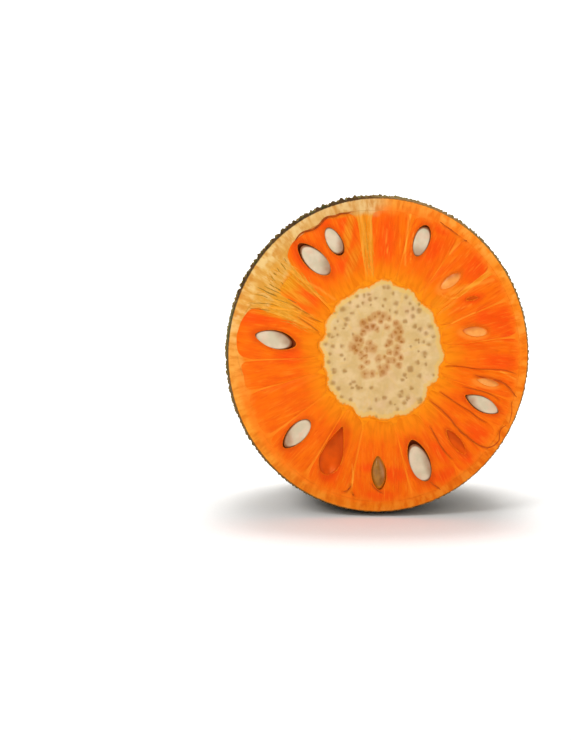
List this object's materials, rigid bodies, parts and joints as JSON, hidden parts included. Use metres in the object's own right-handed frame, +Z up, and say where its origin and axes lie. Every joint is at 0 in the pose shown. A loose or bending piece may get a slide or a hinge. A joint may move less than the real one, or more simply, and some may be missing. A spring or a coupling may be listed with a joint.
{
  "type": "red jackfruit half",
  "caption": "Cut half of a red jackfruit: spiny green-brown rind around orange pods, pale seeds and a cream core, lying on its belly with the cut face upright.",
  "frame": {"origin": "centre of the bounding box at floor level", "axes": "+Y from the cut face into the fruit, towards its tail; +Z up, in the plane of the cut; +X to the right for someone who looks at the cut face"},
  "size_m": [0.2154, 0.1718, 0.2265],
  "materials": {
    "rind": "matte",
    "rag": "satin",
    "core": "matte",
    "pod": "satin",
    "seed": "satin"
  },
  "bodies": {
    "root": {"rind": "rind", "rag": "rag", "core": "core", "pod_01": "pod", "pod_02": "pod", "pod_03": "pod", "pod_04": "pod", "pod_05": "pod", "pod_06": "pod", "pod_07": "pod", "pod_08": "pod", "pod_09": "pod", "pod_10": "pod", "pod_11": "pod", "pod_12": "pod", "pod_13": "pod", "pod_14": "pod", "pod_15": "pod", "pod_16": "pod", "pod_17": "pod", "pod_18": "pod", "pod_19": "pod", "seed_01": "seed", "seed_02": "seed", "seed_03": "seed", "seed_04": "seed", "seed_05": "seed", "seed_06": "seed", "seed_07": "seed", "seed_08": "seed", "seed_09": "seed", "seed_10": "seed", "seed_11": "seed"}
  },
  "joints": []
}
